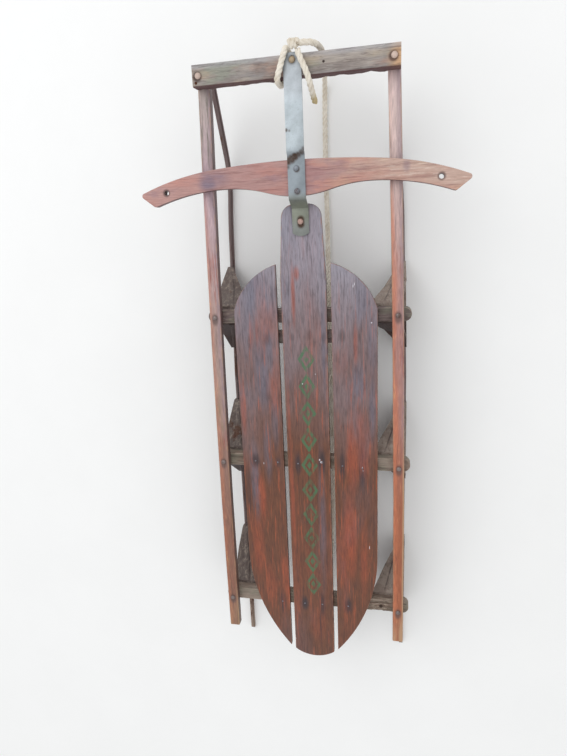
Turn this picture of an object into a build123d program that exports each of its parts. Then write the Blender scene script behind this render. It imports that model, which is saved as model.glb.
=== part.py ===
from build123d import *
import math
import os

# A steerable snow sled: a slatted wooden deck on three cross benches, pressed steel knees on
# two steel runners, and a wooden steering bar that swings the springy front of the frame.
# Millimetres. X runs across the sled, Y towards its front, Z up from the floor that the
# runners stand on. Places along the sled are measured from the middle bench, and everything
# is moved at the end so that Y = 0 is the middle of the overall length.

# Deck: three slats with a shared boat-shaped tail.
deck_top = 135.0           # floor to the top of the slats
slat_thick = 9.0
slat_gap = 7.0             # open slot between two slats
middle_slat_width = 70.0
side_slat_width = 69.0
nose_y = 407.4             # front end of the middle slat
nose_width = 58.0          # its width there, before the corners are rounded
nose_taper = 108.0         # length over which it narrows
nose_round = 19.0          # corner radius of the nose
side_tip_y = 322.0         # front corner of a side slat, next to the middle slat
side_corner_y = 253.0      # where its rounded front meets its outer edge
side_front_radius = 103.0
tail_start_y = -165.0      # where the outer edges begin to close in
tail_side_radius = 296.0
tail_tip_radius = 58.0

# Three benches across the sled, with round ends, and a thin batten under the slats.
bench_length = 326.0
bench_width = 21.5
bench_thick = 17.0
front_bench_y = 243.0
rear_bench_y = -262.5
batten_length = 210.0
batten_width = 20.0
batten_thick = 9.0
batten_gap = 12.5          # between the batten and the front bench

# Side rails: long springy strips lying on the benches, bowed slightly outwards.
rail_width = 17.3
rail_height = 14.0
rail_inset = 17.6          # centre line of a rail's rear end inside the end of the benches
rail_middle_inset = 2.0    # the rail lies this much further in near the middle of the sled
rail_front_inset = 12.9    # and this much further in at the bumper
rail_middle_y = 80.0
rail_rear_y = -321.0
rail_setback = 4.0         # rail end behind the front face of the bumper

# Bumper: the cross bar on top of the rails at the front.
bumper_overhang = 9.0      # past the centre line of each rail
bumper_width = 28.5
bumper_thick = 21.0
bumper_y = 582.1

# Runners: inverted T section, tread below and web above, turned up and over at the front.
runner_height = 13.0
tread_width = 7.0
tread_thick = 4.0
web_thick = 3.0
runner_inset = 10.5        # centre line beside the deck, inside the end of the benches
runner_knuckle_y = 120.0   # from here the runners close in towards the front
runner_waist_y = 400.0     # and from here, just behind the ramp, they close in faster
runner_waist_inset = 6.5   # how much closer each runner is there
knuckle_radius = 1200.0
runner_tail_y = -435.0
tail_bevel = 9.0           # sloping cut at the rear end of the web
ramp_angle = 38.0
ramp_radius = 120.0
curl_radius = 16.0
pad_radius = 8.5           # flattened end under the rail, round the bolt
spotface_play = 1.0        # room round the nut under the flattened end

# Knees: pressed steel shells from the benches down to the runners.
knee_wall = 2.2
knee_rib_width = 11.0      # ribs pressed outwards in the two flanks and the inner side
knee_rib_depth = 1.8
knee_rib_share = 0.5       # place of a flank's rib between its inner and outer edges
knee_top_inner_x = 51.0    # inner edge at the bench, inboard of the runner's centre line
knee_top_outer_x = 2.5
knee_top_length = 30.0
knee_middle_inner_x = 31.0
knee_middle_outer_x = -4.0 # the outer edge stands a little outside the runner's centre line
knee_middle_drop = 54.0    # the middle section lies this far under the bench
knee_middle_length = 92.0  # along the outer edge
knee_middle_inner_length = 70.0
knee_foot_length = 144.0
knee_foot_width = 9.0
knee_foot_top = 4.0        # solid foot above the web
saddle_lip = 6.0           # how far the foot reaches down beside the web
saddle_play = 0.1

# Steering bar.
bar_thick = 12.0
bar_lift = 5.0             # clear height over the rails
bar_front_y = 465.3        # front edge on the centre line
bar_front_radius = 1250.0
bar_shoulder_x = 120.0     # the front edge bends back faster from here to the tips
bar_shoulder_radius = 420.0
bar_half_length = 239.0
bar_tip_round = 4.0
bar_tip_slant = 23.5       # the tip runs back to a corner this much nearer the centre
bar_tip_depth = 18.0
bar_belly_y = 417.0        # rear edge on the centre line
bar_waist_x = 103.0        # where an arm is narrowest
bar_waist_y = 432.0        # rear edge there
bar_belly_share = 0.45     # part of the way to the waist over which the belly bulges back
rope_hole_x = 196.0
rope_hole_y = 431.5
rope_hole_radius = 3.5

# Steel strap from the bumper over the steering bar to the nose of the deck.
strap_width = 24.5
strap_thick = 3.0
strap_play = 0.3           # under the strap where it turns on wood
strap_front_y = 597.0
strap_rear_y = 362.0
strap_step_front_y = 475.0
strap_step_rear_y = 470.0
strap_drop_back = 3.5      # the strap turns down this far behind the bar's rear edge
strap_foot_back = 5.5      # and lands this far behind the tip of the nose
strap_bend = 4.0
strap_tail_rise = 4.3      # the rear end is cut as a shallow arc of this depth
pivot_y = 382.5
strap_bolt_y = 588.0
slot_travel = 2.3          # the front hole is this much longer towards the front
screw_front_y = 453.3
screw_rear_y = 423.5

# Bolts and screws.
bolt_radius = 2.5
bolt_play = 0.3
bolt_head_radius = 4.6
bolt_head_height = 2.5
head_play = 0.05           # under each head
nut_radius = 5.0
nut_height = 4.5
bumper_bolt_shift = 0.5    # outside the centre line of the rail
bumper_bolt_y = 581.5
screw_radius = 2.2
screw_head_radius = 4.0
screw_head_height = 1.8
screw_nut_radius = 4.2
screw_nut_height = 2.5

# Pull rope.
rope_radius = 4.25
rope_play = 0.25
hitch_radius = 7.0         # round the corners of the bumper

rail_rear_x = bench_length / 2 - rail_inset
rail_middle_x = rail_rear_x - rail_middle_inset
rail_front_x = rail_rear_x - rail_front_inset
bumper_length = 2 * (rail_front_x + bumper_overhang)
bumper_bolt_x = rail_front_x + bumper_bolt_shift
runner_x = bench_length / 2 - runner_inset
bench_top = deck_top - slat_thick
bench_bottom = bench_top - bench_thick
rail_top = bench_top + rail_height
bumper_top = rail_top + bumper_thick
bumper_front_y = bumper_y + bumper_width / 2
bar_bottom = rail_top + bar_lift
bar_top = bar_bottom + bar_thick
deck_half = middle_slat_width / 2 + slat_gap + side_slat_width
front_y = max(strap_front_y, bumper_front_y, bumper_bolt_y + curl_radius)
middle_y = (front_y + runner_tail_y) / 2

pieces = {}


def keep(name, *solids):
    """File one node: its solids, moved so that the sled's middle is at Y = 0."""
    shape = solids[0] if len(solids) == 1 else Compound(children=[s.solid() for s in solids])
    pieces[name] = Pos(0, -middle_y, 0) * shape


def arc_by_radius(start, end, radius, side):
    """Arc from start to end that bulges to the left (side 1) or right (side -1) of the chord."""
    dx, dy = end[0] - start[0], end[1] - start[1]
    half = math.hypot(dx, dy) / 2
    rise = side * (radius - math.sqrt(radius**2 - half**2))
    middle = ((start[0] + end[0]) / 2 - dy / (2 * half) * rise, (start[1] + end[1]) / 2 + dx / (2 * half) * rise)
    return ThreePointArc(start, middle, end)


def upright(x, y, bottom, top, radius):
    """Round hole or shank from one height to another."""
    return Pos(x, y, (bottom + top) / 2) * Cylinder(radius, top - bottom)


def circle_through(a, b, c):
    """Centre and radius of the circle through three points."""
    d = 2 * (a[0] * (b[1] - c[1]) + b[0] * (c[1] - a[1]) + c[0] * (a[1] - b[1]))
    sq = [p[0] ** 2 + p[1] ** 2 for p in (a, b, c)]
    x = (sq[0] * (b[1] - c[1]) + sq[1] * (c[1] - a[1]) + sq[2] * (a[1] - b[1])) / d
    y = (sq[0] * (c[0] - b[0]) + sq[1] * (a[0] - c[0]) + sq[2] * (b[0] - a[0])) / d
    return x, y, math.hypot(a[0] - x, a[1] - y)


rail_front_y = bumper_front_y - rail_setback
rail_circle = circle_through(
    (rail_front_x, rail_front_y), (rail_middle_x, rail_middle_y), (rail_rear_x, rail_rear_y))


def rail_x(y):
    """Centre line of the right rail at a place along the sled."""
    return rail_circle[0] + math.sqrt(rail_circle[2] ** 2 - (y - rail_circle[1]) ** 2)


runner_slope = runner_waist_inset / (runner_waist_y - runner_knuckle_y)
runner_front_slope = (runner_x - runner_waist_inset - bumper_bolt_x) / (bumper_bolt_y - runner_waist_y)
runner_yaw = math.degrees(math.atan(runner_slope))


def runner_centre(y):
    """Centre line of the right runner, straight beside the deck and closing in ahead of it."""
    return (runner_x - runner_slope * min(max(0.0, y - runner_knuckle_y), runner_waist_y - runner_knuckle_y)
            - runner_front_slope * max(0.0, y - runner_waist_y))


# Deck

side_centre = (deck_half - tail_side_radius, tail_start_y)
tip_y = tail_start_y - math.sqrt(
    (tail_side_radius - tail_tip_radius) ** 2 - (tail_side_radius - deck_half) ** 2)
to_tip = Vector(-side_centre[0], tip_y - side_centre[1], 0).normalized()
meet = (to_tip.X * tail_tip_radius, tip_y + to_tip.Y * tail_tip_radius)


def deck_outline():
    """The boat-shaped tail and straight sides that all three slats are cut to."""
    ahead = nose_y + 50
    sweep_angle = math.atan2(to_tip.Y, to_tip.X) / 2
    middle = (side_centre[0] + tail_side_radius * math.cos(sweep_angle),
              side_centre[1] + tail_side_radius * math.sin(sweep_angle))
    edges = [
        Line((-deck_half, ahead), (deck_half, ahead)),
        ThreePointArc((-meet[0], meet[1]), (0, tip_y - tail_tip_radius), meet),
    ]
    for s in (-1, 1):
        edges += [
            Line((s * deck_half, ahead), (s * deck_half, tail_start_y)),
            ThreePointArc((s * deck_half, tail_start_y), (s * middle[0], middle[1]), (s * meet[0], meet[1])),
        ]
    return make_face(edges)


def slat(outline):
    return Pos(0, 0, bench_top) * extrude(outline & deck_outline(), amount=slat_thick)


def middle_slat():
    half, tip, back = middle_slat_width / 2, nose_width / 2, 2 * runner_tail_y
    outline = make_face(Polyline(
        (-half, back), (half, back), (half, nose_y - nose_taper), (tip, nose_y),
        (-tip, nose_y), (-half, nose_y - nose_taper), close=True))
    outline = fillet(outline.vertices().group_by(Axis.Y)[-1], nose_round)
    hole = upright(0, pivot_y, bench_top, deck_top, bolt_radius + bolt_play)
    return slat(outline) - hole


def side_slat(s):
    inner, back = deck_half - side_slat_width, 2 * runner_tail_y
    outline = make_face([
        Line((s * inner, back), (s * deck_half, back)),
        Line((s * deck_half, back), (s * deck_half, side_corner_y)),
        arc_by_radius((s * deck_half, side_corner_y), (s * inner, side_tip_y), side_front_radius, -s),
        Line((s * inner, side_tip_y), (s * inner, back)),
    ])
    return slat(outline)


keep("slat_middle", middle_slat())
keep("slat_left", side_slat(-1))
keep("slat_right", side_slat(1))

# Benches, batten and rails

benches = (("bench_front", front_bench_y), ("bench_middle", 0.0), ("bench_rear", rear_bench_y))
for name, y in benches:
    bench = Pos(0, y, bench_bottom) * extrude(SlotOverall(bench_length, bench_width), amount=bench_thick)
    for s in (-1, 1):
        bench -= upright(s * rail_x(y), y, bench_bottom, bench_top, bolt_radius + saddle_play)
    keep(name, bench)

batten_y = front_bench_y - bench_width / 2 - batten_gap - batten_width / 2
keep("batten", Pos(0, batten_y, bench_top - batten_thick / 2) * Box(batten_length, batten_width, batten_thick))

for name, s in (("rail_left", -1), ("rail_right", 1)):
    line = ThreePointArc((s * rail_front_x, rail_front_y), (s * rail_middle_x, rail_middle_y),
                         (s * rail_rear_x, rail_rear_y))
    rail = Pos(0, 0, bench_top) * extrude(trace(line, line_width=rail_width), amount=rail_height)
    for bench_name, y in benches:
        rail -= upright(s * rail_x(y), y, bench_top, rail_top, bolt_radius + bolt_play)
    rail -= upright(s * bumper_bolt_x, bumper_bolt_y, bench_top, rail_top, bolt_radius + bolt_play)
    keep(name, rail)

# Runners

ramp = math.radians(ramp_angle)
ramp_length = (bench_top - ramp_radius * (1 - math.cos(ramp))
               - curl_radius * (1 + math.cos(ramp))) / math.sin(ramp)
curl_centre = (bumper_bolt_y, bench_top - curl_radius)
ramp_head = (curl_centre[0] + curl_radius * math.sin(ramp), curl_centre[1] - curl_radius * math.cos(ramp))
ramp_start_y = ramp_head[0] - ramp_length * math.cos(ramp) - ramp_radius * math.sin(ramp)


def sole_line(depth):
    """The sole seen from the side, a depth inside the steel: floor, ramp and curl."""
    def arc(centre, radius, first, last):
        spots = [math.radians(a) for a in (first, (first + last) / 2, last)]
        return ThreePointArc(*[(centre[0] + (radius - depth) * math.cos(a),
                                centre[1] + (radius - depth) * math.sin(a)) for a in spots])
    bend = arc((ramp_start_y, ramp_radius), ramp_radius, -90, ramp_angle - 90)
    curl = arc(curl_centre, curl_radius, ramp_angle - 90, 90)
    return [Line((runner_tail_y, depth), (ramp_start_y, depth)), bend, Line(bend @ 1, curl @ 0), curl]


def side_band(inner, outer):
    """Side view of one layer of the runner between two depths."""
    low, high = sole_line(inner), sole_line(outer)
    return make_face(low + high + [
        Line((runner_tail_y, inner), (runner_tail_y, outer)), Line(low[-1] @ 1, high[-1] @ 1)])


def plan_band(s, width):
    """Plan view of the runner's course, as a strip of the given width."""
    ahead = bumper_front_y + 60
    line = FilletPolyline((s * runner_x, runner_tail_y - 20), (s * runner_x, runner_knuckle_y),
                          (s * runner_centre(runner_waist_y), runner_waist_y),
                          (s * runner_centre(ahead), ahead), radius=knuckle_radius)
    return trace(line, line_width=width)


def runner(s):
    reach = runner_x + 40
    layers = ((tread_width, 0.0, tread_thick), (web_thick, tread_thick, runner_height))
    body = None
    for width, inner, outer in layers:
        side = Pos(s * reach / 2, 0, 0) * extrude(
            Plane.YZ * side_band(inner, outer), amount=reach / 2, both=True)
        layer = side & extrude(plan_band(s, width), amount=bench_top + 5)
        body = layer if body is None else body + layer
    wedge = make_face(Polyline((runner_tail_y - 1, runner_height + 1), (runner_tail_y - 1, tread_thick),
                               (runner_tail_y, tread_thick), (runner_tail_y + tail_bevel, runner_height + 1),
                               close=True))
    body -= Pos(s * reach / 2, 0, 0) * extrude(Plane.YZ * wedge, amount=reach / 2, both=True)
    bolt = (s * bumper_bolt_x, bumper_bolt_y)
    body += upright(*bolt, bench_top - tread_thick, bench_top, pad_radius)
    body -= upright(*bolt, bench_top - runner_height - nut_height, bench_top - tread_thick, nut_radius + spotface_play)
    body -= upright(*bolt, bench_top - tread_thick, bench_top, bolt_radius + bolt_play)
    return body


keep("runner_left", runner(-1))
keep("runner_right", runner(1))

# Knees

knee_bottom = runner_height
knee_open = knee_foot_length / 4   # the hollow is cut open this far past the outer edge


def ribbed(inner, outer, half_at, rib, middle, wide):
    """Level section of the left shell, with a rib in each flank and in the inner side."""
    tip = wide / 2
    flank = [(middle + x, half_at(middle + x) + lift) for x, lift in ((-wide, 0), (-tip, rib), (tip, rib), (wide, 0))]
    side = [(inner, wide), (inner + rib, tip), (inner + rib, -tip), (inner, -wide)]
    points = [(outer, half_at(outer)), *flank, (inner, half_at(inner)), *side, (inner, -half_at(inner))]
    points += [(x, -y) for x, y in reversed(flank)] + [(outer, -half_at(outer))]
    return make_face(Polyline(*points, close=True))


def knee_sections(y, shrink):
    """Three level sections, from the foot up, drawn in by the wall and opened to the outside."""
    yaw = runner_yaw if y > runner_knuckle_y else 0.0
    foot, top = knee_foot_length / 2, knee_top_length / 2
    rows = (
        # inner edge, outer edge, half length there and here, height, rib
        (knee_foot_width / 2, -knee_foot_width / 2, foot, foot, knee_bottom + knee_foot_top, 0.0),
        (knee_middle_inner_x, knee_middle_outer_x, knee_middle_inner_length / 2, knee_middle_length / 2,
         bench_bottom - knee_middle_drop, knee_rib_depth),
        (knee_top_inner_x, knee_top_outer_x, top, top, bench_bottom, knee_rib_depth / 2),
    )
    faces = []
    for number, (inner, outer, inner_half, outer_half, height, rib) in enumerate(rows):
        turn = -yaw if number == 0 else 0.0
        rib_x = inner + (outer - inner) * knee_rib_share
        rib_half = min(knee_rib_width / 2, (inner - outer) / 5)

        def half_at(x, start=outer, half=outer_half, taper=(inner_half - outer_half) / (inner - outer)):
            return half + taper * (x - start) - shrink

        outer_edge = outer - knee_open if shrink else outer
        face = ribbed(inner - shrink, outer_edge, half_at, rib, rib_x, rib_half)
        faces.append(Pos(-runner_centre(y), y, height) * Rot(0, 0, turn) * face)
    return faces


def knee(y):
    """The left knee at a place along the sled."""
    shell = loft(knee_sections(y, 0.0), ruled=True)
    hollow = loft(knee_sections(y, knee_wall), ruled=True)
    below_top = Pos(-runner_x, y, bench_bottom / 2 - knee_wall) * Box(
        2 * runner_x, 2 * knee_foot_length, bench_bottom)
    body = shell - (hollow & below_top)
    tab_outer = bench_length / 2 - bench_width / 2
    tab_inner = runner_centre(y) - knee_top_inner_x
    body += Pos(-(tab_outer + tab_inner) / 2, y, bench_bottom - knee_wall / 2) * Box(
        tab_outer - tab_inner, bench_width, knee_wall)
    turned = Pos(-runner_centre(y), y, 0) * Rot(0, 0, -runner_yaw if y > runner_knuckle_y else 0.0)
    foot_low, foot_high = knee_bottom - saddle_lip, knee_bottom + knee_foot_top
    body += turned * Pos(0, 0, (foot_low + foot_high) / 2) * Box(
        knee_foot_width, knee_foot_length, foot_high - foot_low)
    body -= turned * Pos(0, 0, knee_bottom - saddle_lip) * Box(
        web_thick + 2 * saddle_play, knee_foot_length + 10, 2 * saddle_lip)
    body -= upright(-rail_x(y), y, bench_bottom - knee_wall, bench_bottom, bolt_radius + saddle_play)
    return body


for name, y in (("front", front_bench_y), ("middle", 0.0), ("rear", rear_bench_y)):
    left = knee(y)
    keep(f"knee_{name}_left", left)
    keep(f"knee_{name}_right", mirror(left, Plane.YZ))

# Bolts


def bolt(x, y, top, bottom, shank=bolt_radius, head=bolt_head_radius, head_height=bolt_head_height,
         nut=nut_radius, nut_thick=nut_height):
    """Bolt with its domed head on one face and its nut under another."""
    cap = Pos(x, y, top + head_play + head_height / 2) * Cylinder(head, head_height)
    cap = chamfer(cap.edges().group_by(Axis.Z)[-1], head_height * 0.6)
    body = cap + upright(x, y, bottom - nut_thick, top + head_play, shank)
    return body + Pos(x, y, bottom - nut_thick) * extrude(RegularPolygon(nut, 6), amount=nut_thick)


for name, y in (("front", front_bench_y), ("middle", 0.0), ("rear", rear_bench_y)):
    for side, s in (("left", -1), ("right", 1)):
        keep(f"rail_bolt_{name}_{side}", bolt(s * rail_x(y), y, rail_top, bench_bottom - knee_wall))

# Steering bar

bar_shoulder = (bar_shoulder_x, bar_front_y - bar_front_radius + math.sqrt(bar_front_radius**2 - bar_shoulder_x**2))
shoulder_centre = [a + (b - a) * bar_shoulder_radius / bar_front_radius
                   for a, b in zip(bar_shoulder, (0.0, bar_front_y - bar_front_radius))]
bar_tip_y = shoulder_centre[1] + math.sqrt(bar_shoulder_radius**2 - (bar_half_length - shoulder_centre[0])**2)


def steering_bar():
    tip_rear = (bar_half_length - bar_tip_slant, bar_tip_y - bar_tip_depth)
    rise = bar_waist_y - bar_belly_y
    swing = (bar_waist_x**2 + rise**2) / (2 * rise)      # radii of belly and waist together
    turn = (bar_waist_x * bar_belly_share, bar_belly_y + rise * bar_belly_share)
    back = (tip_rear[0] - bar_waist_x, bar_waist_y - tip_rear[1])
    arm_radius = (back[0]**2 + back[1]**2) / (2 * back[1])
    edges = [ThreePointArc((-bar_shoulder[0], bar_shoulder[1]), (0, bar_front_y), bar_shoulder),
             ThreePointArc((-turn[0], turn[1]), (0, bar_belly_y), turn)]
    for s in (-1, 1):
        edges += [
            arc_by_radius((s * bar_shoulder[0], bar_shoulder[1]), (s * bar_half_length, bar_tip_y),
                          bar_shoulder_radius, s),
            Line((s * bar_half_length, bar_tip_y), (s * tip_rear[0], tip_rear[1])),
            arc_by_radius((s * tip_rear[0], tip_rear[1]), (s * bar_waist_x, bar_waist_y), arm_radius, -s),
            arc_by_radius((s * bar_waist_x, bar_waist_y), (s * turn[0], turn[1]),
                          swing * (1 - bar_belly_share), -s),
        ]
    face = make_face(edges)
    tips = [v for v in face.vertices() if abs(v.X) > tip_rear[0] - 1]
    face = fillet(tips, bar_tip_round)
    body = Pos(0, 0, bar_bottom) * extrude(face, amount=bar_thick)
    for s in (-1, 1):
        body -= upright(s * rope_hole_x, rope_hole_y, bar_bottom, bar_top, rope_hole_radius)
    for y in (screw_front_y, screw_rear_y):
        body -= upright(0, y, bar_bottom, bar_top, screw_radius + saddle_play)
    return body


keep("steering_bar", steering_bar())

# Strap

pivot_z = deck_top + strap_play
strap_bar_top = bar_top + strap_thick


def steering_strap():
    rise = strap_thick / 2
    line = FilletPolyline(
        (strap_front_y, bumper_top + strap_play + rise), (strap_step_front_y, bumper_top + strap_play + rise),
        (strap_step_rear_y, bar_top + rise), (bar_belly_y - strap_drop_back, bar_top + rise),
        (nose_y - strap_foot_back, pivot_z + rise), (strap_rear_y, pivot_z + rise), radius=strap_bend)
    body = extrude(Plane.YZ * trace(line, line_width=strap_thick), amount=strap_width, both=True)
    half = strap_width / 2
    corner_y = strap_rear_y + strap_tail_rise
    plan = make_face([
        Polyline((half, corner_y), (half, strap_front_y), (-half, strap_front_y), (-half, corner_y)),
        ThreePointArc((-half, corner_y), (0, strap_rear_y), (half, corner_y))])
    plan = fillet(plan.vertices().group_by(Axis.Y)[-1], 2.5)
    body &= extrude(plan, amount=bumper_top + 20)
    body -= upright(0, pivot_y, pivot_z, pivot_z + strap_thick, bolt_radius + bolt_play)
    slot = Pos(0, strap_bolt_y + slot_travel / 2, bumper_top) * Rot(0, 0, 90) * extrude(
        SlotCenterToCenter(slot_travel, 2 * (bolt_radius + bolt_play)), amount=10)
    body -= slot
    for y in (screw_front_y, screw_rear_y):
        body -= upright(0, y, bar_top, strap_bar_top, screw_radius + bolt_play)
    return body


keep("steering_strap", steering_strap())
for name, y in (("strap_screw_front", screw_front_y), ("strap_screw_rear", screw_rear_y)):
    keep(name, bolt(0, y, strap_bar_top, bar_bottom, screw_radius, screw_head_radius,
                    screw_head_height, screw_nut_radius, screw_nut_height))
keep("pivot_bolt", bolt(0, pivot_y, pivot_z + strap_thick + strap_play, bench_top))

# Bumper

bumper = Pos(0, bumper_y, (rail_top + bumper_top) / 2) * Box(bumper_length, bumper_width, bumper_thick)
bumper = fillet(bumper.edges().filter_by(Axis.X), 2.5)
for s in (-1, 1):
    bumper -= upright(s * bumper_bolt_x, bumper_bolt_y, rail_top, bumper_top, bolt_radius + saddle_play)
bumper -= upright(0, strap_bolt_y, rail_top, bumper_top, bolt_radius + saddle_play)
keep("bumper", bumper)
for side, s in (("left", -1), ("right", 1)):
    keep(f"bumper_bolt_{side}", bolt(s * bumper_bolt_x, bumper_bolt_y, bumper_top, bench_top - tread_thick))
keep("strap_bolt", bolt(0, strap_bolt_y, bumper_top + 2 * strap_play + strap_thick, rail_top))

# Pull rope: a turn round the bumper, a knot ahead of it, a short free end and the long strand,
# which hangs in front of the bumper, lies back along the floor and turns under the deck.

knot_at = (4.0, 604.8, deck_top + 36.4)
knot_radius = 6.4
knot_length = 15.0
knot_bevel = 2.0
over_strap = bumper_top + 2 * strap_play + strap_thick + rope_radius


def rope_along(points, radii, closed=False):
    path = FilletPolyline(*points, radius=radii, close=closed)
    start = path @ 0
    face = Plane(origin=start, z_dir=path % 0) * Circle(rope_radius)
    return sweep(face, path=path), path.length


def turn_radii(points):
    """The largest arcs that each pair of runs leaves room for."""
    radii = []
    for a, b, c in zip(points, points[1:], points[2:]):
        u, v = Vector(*b) - Vector(*a), Vector(*c) - Vector(*b)
        turn = math.radians(u.get_angle(v))
        radii.append(0.45 * min(u.length, v.length) / math.tan(turn / 2))
    return radii


def hitch():
    """Closed turn round the bumper, leaning from the knot to the left of the strap."""
    front, rear = strap_front_y + rope_radius + 4 * rope_play, bumper_y - bumper_width / 2 - rope_radius - rope_play
    low = rail_top - rope_radius - rope_play
    rows = (
        # across, along, up
        (-7.3, front, over_strap + 1.0),
        (-21.0, rear, over_strap + 0.6),
        (-21.0, rear, low),
        (-7.3, front, low),
    )
    path = FilletPolyline(*rows, radius=hitch_radius, close=True)
    face = Plane(origin=path @ 0, z_dir=path % 0) * Circle(rope_radius)
    return sweep(face, path=path)


keep("rope_hitch", hitch())

end_points = (
    (8.7, knot_at[1] - knot_radius - 1.05, knot_at[2]), (10.7, 590.0, over_strap + 1.5),
    (17.0, 577.0, over_strap + 0.6), (21.5, 565.0, over_strap - 1.4), (23.5, 554.0, deck_top + 23.0),
    (24.3, 546.5, deck_top + 11.0), (25.0, 541.5, deck_top - 3.0))
rope_end, end_length = rope_along(end_points, turn_radii(end_points))
keep("rope_end", rope_end)

knot = Pos(*knot_at) * Rot(0, 90, 0) * Cylinder(knot_radius, knot_length)
knot = chamfer(knot.edges().filter_by(GeomType.CIRCLE), knot_bevel)
keep("rope_knot", knot)

floor_z = rope_radius
long_points = (
    (knot_at[0] + knot_length / 2 + 0.05, knot_at[1], knot_at[2]), (22.0, knot_at[1], knot_at[2]),
    (31.0, 605.0, deck_top + 28.0),
    (35.0, 606.5, deck_top + 5.0), (34.0, 609.0, deck_top - 42.0), (28.5, 613.5, 50.0),
    (25.5, 606.0, 18.0), (23.5, 582.0, floor_z), (22.6, 540.0, floor_z), (22.0, 468.0, floor_z),
    (23.4, 360.0, floor_z), (22.4, 250.0, floor_z), (24.2, 140.0, floor_z), (23.4, 24.0, floor_z),
    (24.0, -92.0, floor_z), (20.0, -195.0, floor_z), (13.5, -292.0, floor_z), (12.0, -343.0, floor_z),
    (-6.5, -362.0, floor_z), (-33.0, -363.0, floor_z), (-52.0, -343.0, floor_z), (-53.0, -291.0, floor_z),
    (-46.0, -196.0, floor_z), (-42.5, -82.0, floor_z), (-38.0, 18.0, floor_z), (-41.0, 110.0, floor_z))
long_radii = turn_radii(long_points)
rope, rope_length = rope_along(long_points, long_radii)
keep("rope", rope)

print("rope radii", [round(r, 1) for r in long_radii])
print("rope length", round(rope_length, 1), "section x length", round(math.pi * rope_radius**2 * rope_length, 1),
      "volume", round(rope.volume, 1))
print("free end radii", [round(r, 1) for r in turn_radii(end_points)], "length", round(end_length, 1))
print("middle_y", middle_y, "rail_x at benches", [round(rail_x(y), 2) for n, y in benches],
      "curl front", round(curl_centre[0] + curl_radius, 1))

os.makedirs("parts", exist_ok=True)
for name, shape in pieces.items():
    export_step(shape, f"parts/{name}.step")
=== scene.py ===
import math

import bmesh
import bpy
from bpy.props import FloatProperty, FloatVectorProperty, PointerProperty
from bpy.types import Operator, Panel, PropertyGroup
from mathutils import Matrix, Vector, noise


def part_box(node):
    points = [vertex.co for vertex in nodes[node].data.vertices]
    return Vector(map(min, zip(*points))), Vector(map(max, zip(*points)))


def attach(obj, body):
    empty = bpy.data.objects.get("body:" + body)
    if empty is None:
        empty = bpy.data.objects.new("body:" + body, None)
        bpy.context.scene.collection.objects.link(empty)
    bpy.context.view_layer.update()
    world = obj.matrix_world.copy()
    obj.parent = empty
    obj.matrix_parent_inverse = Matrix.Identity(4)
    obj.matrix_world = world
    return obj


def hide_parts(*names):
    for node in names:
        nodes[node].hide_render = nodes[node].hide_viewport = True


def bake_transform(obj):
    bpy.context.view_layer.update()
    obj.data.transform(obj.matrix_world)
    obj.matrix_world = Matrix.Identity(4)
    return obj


bl_info = {
    "name": "Snow Sled",
    "version": (1, 0, 0),
    "blender": (4, 5, 0),
    "location": "3D View > Sidebar > Sled",
    "description": "Dresses a steerable wooden snow sled on steel runners",
    "category": "Object",
}

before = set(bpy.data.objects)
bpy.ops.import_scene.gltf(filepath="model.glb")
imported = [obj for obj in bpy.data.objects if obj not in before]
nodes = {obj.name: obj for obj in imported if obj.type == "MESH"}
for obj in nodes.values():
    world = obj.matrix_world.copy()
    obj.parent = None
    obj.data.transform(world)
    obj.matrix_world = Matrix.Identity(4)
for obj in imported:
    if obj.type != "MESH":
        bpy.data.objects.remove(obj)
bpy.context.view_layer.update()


def middle(node):
    """The middle of a node's box."""
    low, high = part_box(node)
    return (low + high) / 2


def top(node):
    """The highest level of a node's box."""
    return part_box(node)[1].z


bench_y = middle("bench_middle").y      # places along the sled are given from the middle bench
deck_top = top("slat_left")
sides = {"left": -1, "right": 1}        # with the sign of x on that side
benches = ("front", "middle", "rear")
even = (1, 1, 1)                        # a pattern that isn't stretched


def along_sled(points):
    """Points given from the middle bench, as places in the frame."""
    return [Vector((x, y + bench_y, z)) for x, y, z in points]


def paint(red, green, blue):
    """A colour as the screen shows it, 0 to 255, in the shader's own scale."""
    return tuple(c / 12.92 if c <= 0.04045 else ((c + 0.055) / 1.055) ** 2.4
                 for c in (v / 255 for v in (red, green, blue)))


def scaled(tone, share):
    """A tone made darker or lighter."""
    return tuple(min(1, c * share) for c in tone)


def colour(name, description, red, green, blue):
    """A colour setting."""
    return FloatVectorProperty(name=name, description=description, subtype="COLOR", size=3,
                               min=0.0, max=1.0, default=paint(red, green, blue))


def length(name, description, default):
    """A setting in metres."""
    return FloatProperty(name=name, description=description, default=default, min=0.0,
                         unit="LENGTH", subtype="DISTANCE")


class SledWood(PropertyGroup):
    slat_front_grey_and_sheen: colour("Slats, front", "Greyed varnish and painted sky reflection towards the nose", 144, 140, 152)
    slat_rear: colour("Slats, rear", "Varnish towards the tail", 104, 64, 45)
    slat_warm: colour("Slats, warm patches", "Where the varnish is worn through to warm wood", 160, 78, 52)
    slat_cloud: colour("Slats, grey patches", "Where the varnish has clouded", 104, 104, 120)
    slat_mark: colour("Ornament", "Faded green paint of the chain of lozenges", 66, 112, 78)
    rail_warm: colour("Rails, warm side", "Orange wood along one side", 196, 116, 82)
    rail_bare: colour("Rails, bare wood", "Worn edges and ends", 184, 148, 116)
    bumper_face: colour("Bumper", "Weathered grey wood", 178, 168, 160)
    # painted shade: the dark tone laid on the bumper's rear side
    bumper_rear_shade: colour("Bumper, painted shade", "Painted shade on its rear side", 92, 62, 64)
    bench_face: colour("Benches", "Bare weathered wood", 156, 141, 129)
    stain: colour("Stain", "Dark stain in the grain and round nails", 60, 46, 48)
    edge_round: length("Edge rounding", "How far the edges of the wood are worn round", 0.0014)


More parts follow.
